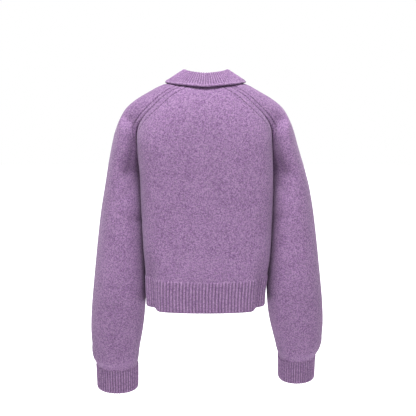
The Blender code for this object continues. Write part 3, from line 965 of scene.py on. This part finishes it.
# ---------------------------------------------------------------- relief of each piece
def seamed(lay, edge, armpit, place, share, creases):
    """Creases, and a raglan seam with its fashioning line above the armpit."""
    below = ease(lay.down, *armpit)
    fashion = edge - place + RUN_OUT * below
    lift = creased(lay, creases) - SEAM_DEPTH * bump_at(edge, 0, SEAM_WIDTH) * (1 - below / 2)
    lift += RIDGE_HEIGHT * bump_at(fashion, RIDGE_PLACE, RIDGE_WIDTH)
    lift -= LINE_DEPTH * bump_at(fashion, 0, LINE_WIDTH)
    return lift, {"seam_line": edge * MM, "fashion_line": fashion * MM,
                  "line_share": mix(1, LINE_FAINT, below) * share}


def back_relief(lay):
    return seamed(lay, np.minimum(lay.left, lay.right), BODY_ARMPIT, FASHION_IN, 1.0, BACK_CREASES)


def front_relief(lay):
    return seamed(lay, lay.left, BODY_ARMPIT, FASHION_IN, 1.0, FRONT_CREASES)


def sleeve_relief(lay):
    edge = np.minimum(lay.left, lay.right)
    return seamed(lay, edge, SLEEVE_ARMPIT, FASHION_OUT, 0.65, SLEEVE_CREASES)


def ribbed(lay, count, strength, top, bottom):
    """Ribs that rise over the first millimetres of a piece and soften towards its edge, with painted
    shade in their grooves.
    """
    wave = rib_wave(lay.across, count)
    start = ease(lay.top, *top)
    ends = start * ease(lay.bottom, *bottom) * strength
    lift = RIB_HEIGHT * wave * mix(RIB_FOOT, 1, ends) * start
    return lift, (1 - wave) ** PAINTED_GROOVE_SHARPNESS * ends


def rib_relief(count, plain_lobe=False):
    def relief(lay):
        strength = mix(LOBE_SHADE, 1, ease(lay.across, *LOBE_RANGE)) if plain_lobe else 1
        lift, painted_groove_shade = ribbed(lay, count, strength, (0, 2.5), (-1, 1.5))
        return lift, {"painted_groove_shade": painted_groove_shade}
    return relief


def collar_relief(lay):
    """Ribs between the stand's seam and the thick roll along the leaf's edge, with painted shade in the
    rib grooves and in the groove beside the roll.
    """
    lift, painted_groove_shade = ribbed(lay, COLLAR_RIBS, 1, (-1, 2), (3.5, 6))
    roll = ROLL_HEIGHT * bump_at(lay.bottom, ROLL_PLACE, ROLL_WIDTH)
    groove = GROOVE_SHADE * bump_at(lay.bottom, ROLL_GROOVE, GROOVE_WIDTH)
    return lift + roll, {"painted_groove_shade": np.maximum(painted_groove_shade, groove)}


def band_relief(slits):
    """Four ribs down a button band, and the buttonholes where it has them, with painted shade in the
    rib grooves and the buttonhole slits.
    """
    def relief(lay):
        wave = rib_wave(lay.across, BAND_RIBS)
        lift = BAND_RIB_HEIGHT * wave
        painted_groove_shade = BAND_SHADE * (1 - wave) ** PAINTED_GROOVE_SHARPNESS
        if slits:
            aside = (lay.across - 0.5) * 2 * BAND_HALF
            slit = ease(aside, -1.5, 0) * (1 - ease(aside, SLIT_REACH - 1, SLIT_REACH + 0.5))
            for number in range(BUTTONS):
                place = button_drop(number) * lay.length
                cut = slit * bump_at(lay.top, place, SLIT_WIDTH)
                lips = slit * bump_at(lay.top, place, LIP_WIDTH)
                lift = lift - SLIT_DEPTH * cut + LIP_HEIGHT * lips
                painted_groove_shade = np.maximum(painted_groove_shade, cut)
        return lift, {"painted_groove_shade": painted_groove_shade}
    return relief


# ---------------------------------------------------------------- the garment
Cut = namedtuple("Cut", "node width length area held rests_on")


def knit_piece(node_name, surface, columns, rows, facing, relief, slot, free=()):
    """A node's cloth, with its finish."""
    item = cloth(node_name + "_knit", surface, columns, rows, facing, relief, free)
    finish_piece(item, node_name, RIB_WOOL if slot == "wool_rib" else BODY_WOOL)


def dress():
    """Every knitted piece, with its grid's columns and rows and the side that faces out."""
    knit_piece("back", back_surface, 176, 200, 1, back_relief, "wool_body")
    knit_piece("hem_back", hem_back_surface, HEM_RIBS * RIB_STEPS, 20, 1,
               rib_relief(HEM_RIBS, plain_lobe=True), "wool_rib", ("bottom",))
    knit_piece("collar", collar_surface, COLLAR_RIBS * RIB_STEPS, 48, 1, collar_relief,
               "wool_rib", ("bottom",))
    knit_piece("band_over", band_surface(0), BAND_RIBS * BAND_STEPS, 420, 1, band_relief(slits=True),
               "wool_body", ("bottom", "right"))
    knit_piece("band_under", band_surface(LAP), BAND_RIBS * BAND_STEPS, 160, 1,
               band_relief(slits=False), "wool_body", ("bottom", "left"))
    for side, word in ((1, "left"), (-1, "right")):
        knit_piece("front_" + word, front_surface(side), 90, 200, -side, front_relief, "wool_body")
        knit_piece("hem_front_" + word, hem_front_surface(side), HEM_RIBS // 2 * RIB_STEPS, 20, -side,
                   rib_relief(HEM_RIBS / 2), "wool_rib", ("bottom",))
        knit_piece("sleeve_" + word, sleeve_surface(side, 0, CUFF), 160, 250, -side, sleeve_relief,
                   "wool_body")
        knit_piece("cuff_" + word, sleeve_surface(side, CUFF, CUFF_EDGE), CUFF_RIBS * RIB_STEPS, 18,
                   -side, rib_relief(CUFF_RIBS), "wool_rib", ("bottom",))


# ---------------------------------------------------------------- the buttons
def button_drop(number):
    """How far down the band a button sits, as a share of the band's length."""
    height = mix(BUTTON_TOP, BUTTON_BOTTOM, number / (BUTTONS - 1))
    top = NECK_FRONT - SEAM
    return (height - top) / (HEM_EDGE[0] - HEM_EDGE[1] - top)


def button_frame(number):
    """A matrix, in metres, that puts a button's middle and axis where its solid has them."""
    surface = band_surface(0)
    down = button_drop(number)
    step = 0.002
    side = surface(np.array(0.5 + step), np.array(down)) - surface(np.array(0.5 - step), np.array(down))
    rise = surface(np.array(0.5), np.array(down - step)) - surface(np.array(0.5), np.array(down + step))
    normal = Vector(np.cross(side, rise)).normalized()
    normal = normal if normal.y < 0 else -normal
    middle = Vector(surface(np.array(0.5), np.array(down))) + normal * (BUTTON_THICK / 2 + BUTTON_REST)
    return Matrix.Translation(middle * MM) @ normal.to_track_quat("Z", "Y").to_matrix().to_4x4()


def turned_disc(profile, segments):
    """A closed turned shape from a table of radius and height."""
    mesh = bmesh.new()
    rows = len(profile) - 1
    bmesh.ops.create_grid(mesh, x_segments=segments, y_segments=rows, size=1)
    for vert in mesh.verts:
        turn = (vert.co.x + 1) / 2 * TAU
        radius, height = profile[round((vert.co.y + 1) / 2 * rows)]
        vert.co = (radius * math.cos(turn) * MM, radius * math.sin(turn) * MM, height * MM)
    bmesh.ops.remove_doubles(mesh, verts=mesh.verts, dist=1e-6)
    bmesh.ops.recalc_face_normals(mesh, faces=mesh.faces)
    return mesh


def as_object(name, mesh):
    data = bpy.data.meshes.new(name)
    mesh.to_mesh(data)
    mesh.free()
    item = bpy.data.objects.new(name, data)
    bpy.context.scene.collection.objects.link(item)
    return item


def sewn_button(number):
    """A rimmed button with four real holes, and the two stitches that hold it."""
    frame_matrix = button_frame(number)
    disc = as_object("button_disc_%d" % (number + 1), turned_disc(BUTTON_PROFILE, BUTTON_SEGMENTS))
    drills = bmesh.new()
    for x in (-HOLE_OUT, HOLE_OUT):
        for y in (-HOLE_OUT, HOLE_OUT):
            bmesh.ops.create_cone(drills, cap_ends=True, segments=HOLE_SEGMENTS,
                                  radius1=HOLE_RADIUS * MM, radius2=HOLE_RADIUS * MM,
                                  depth=3 * BUTTON_THICK * MM,
                                  matrix=Matrix.Translation((x * MM, y * MM, 0)))
    drill = as_object("drill", drills)
    cut = disc.modifiers.new("holes", "BOOLEAN")
    cut.object = drill
    cut.operation = "DIFFERENCE"
    cut.solver = "EXACT"
    evaluated = disc.evaluated_get(bpy.context.evaluated_depsgraph_get())
    drilled = bpy.data.meshes.new_from_object(evaluated)
    disc.modifiers.clear()
    disc.data = drilled
    bpy.data.objects.remove(drill, do_unlink=True)
    drilled.transform(frame_matrix)
    drilled.shade_smooth()
    drilled.set_sharp_from_angle(angle=BUTTON_SHARP)
    finish_piece(disc, "button_%d" % (number + 1), BUTTON_SHELL)

    threads = bmesh.new()
    size = Matrix.Diagonal((*(half * MM for half in THREAD_HALF), 1))
    for x in (-HOLE_OUT, HOLE_OUT):
        place = Matrix.Translation((x * MM, 0, THREAD_HEIGHT * MM)) @ size
        bmesh.ops.create_uvsphere(threads, u_segments=12, v_segments=10, radius=1, matrix=place)
    stitches = as_object("button_thread_%d" % (number + 1), threads)
    stitches.data.transform(frame_matrix)
    stitches.data.shade_smooth()
    finish_piece(stitches, None, THREAD)


dress()
for number in range(BUTTONS):
    sewn_button(number)


# ---------------------------------------------------------------- floor, light and camera
def place_camera():
    """The photo's view of the back, from a little above."""
    view = Vector((0, math.cos(CAMERA_ELEVATION), math.sin(CAMERA_ELEVATION)))
    aim = Vector((-CENTRE_RIGHT * PIXEL, 0, -CENTRE_ABOVE * PIXEL / math.cos(CAMERA_ELEVATION)))
    data = bpy.data.cameras.new("photo_camera")
    data.sensor_width = 36
    data.lens = data.sensor_width * CAMERA_DISTANCE / (PIXEL * FRAME_PIXELS)
    camera = bpy.data.objects.new("photo_camera", data)
    camera.location = aim + view * CAMERA_DISTANCE
    camera.rotation_euler = view.to_track_quat("Z", "Y").to_euler()
    bpy.context.scene.collection.objects.link(camera)
    bpy.context.scene.camera = camera


def area_light(name, place, size, power):
    data = bpy.data.lights.new(name, "AREA")
    data.shape = "DISK"
    data.size = size
    data.energy = power
    light = bpy.data.objects.new(name, data)
    light.location = place
    light.rotation_euler = (Vector(place) - LIT_POINT).to_track_quat("Z", "Y").to_euler()
    bpy.context.scene.collection.objects.link(light)


def pale_floor():
    mesh = bmesh.new()
    bmesh.ops.create_grid(mesh, x_segments=8, y_segments=8, size=FLOOR_HALF)
    bmesh.ops.translate(mesh, verts=mesh.verts, vec=(0, 0, FLOOR_HEIGHT))
    floor = as_object("floor", mesh)
    material, tree, shader, _ = new_material("pale_floor")
    seen = tree.nodes.new("ShaderNodeLightPath").outputs["Is Camera Ray"]
    shader["Base Color"].default_value = (0.9, 0.9, 0.9, 1)
    shader["Roughness"].default_value = 0.9
    shader["Emission Color"].default_value = (1, 1, 1, 1)
    glow = maths(tree, "MULTIPLY_ADD", seen, 1 - FLOOR_GLOW, FLOOR_GLOW)
    tree.links.new(glow, shader["Emission Strength"])
    floor.data.materials.append(material)


def soft_room():
    """White to the camera, and dimmer as a light on the wool."""
    world = bpy.data.worlds.new("white_room")
    world.use_nodes = True
    tree = world.node_tree
    seen = tree.nodes.new("ShaderNodeLightPath").outputs["Is Camera Ray"]
    strength = maths(tree, "MULTIPLY_ADD", seen, 1 - ROOM_LIGHT, ROOM_LIGHT)
    tree.nodes["Background"].inputs["Color"].default_value = (1, 1, 1, 1)
    tree.links.new(strength, tree.nodes["Background"].inputs["Strength"])
    bpy.context.scene.world = world
    bpy.context.scene.view_settings.view_transform = "Standard"
    bpy.context.scene.view_settings.look = "None"


place_camera()
soft_room()
pale_floor()
area_light("top_light", TOP_PLACE, TOP_SIZE, TOP_POWER)
area_light("front_light", FRONT_PLACE, FRONT_SIZE, FRONT_POWER)
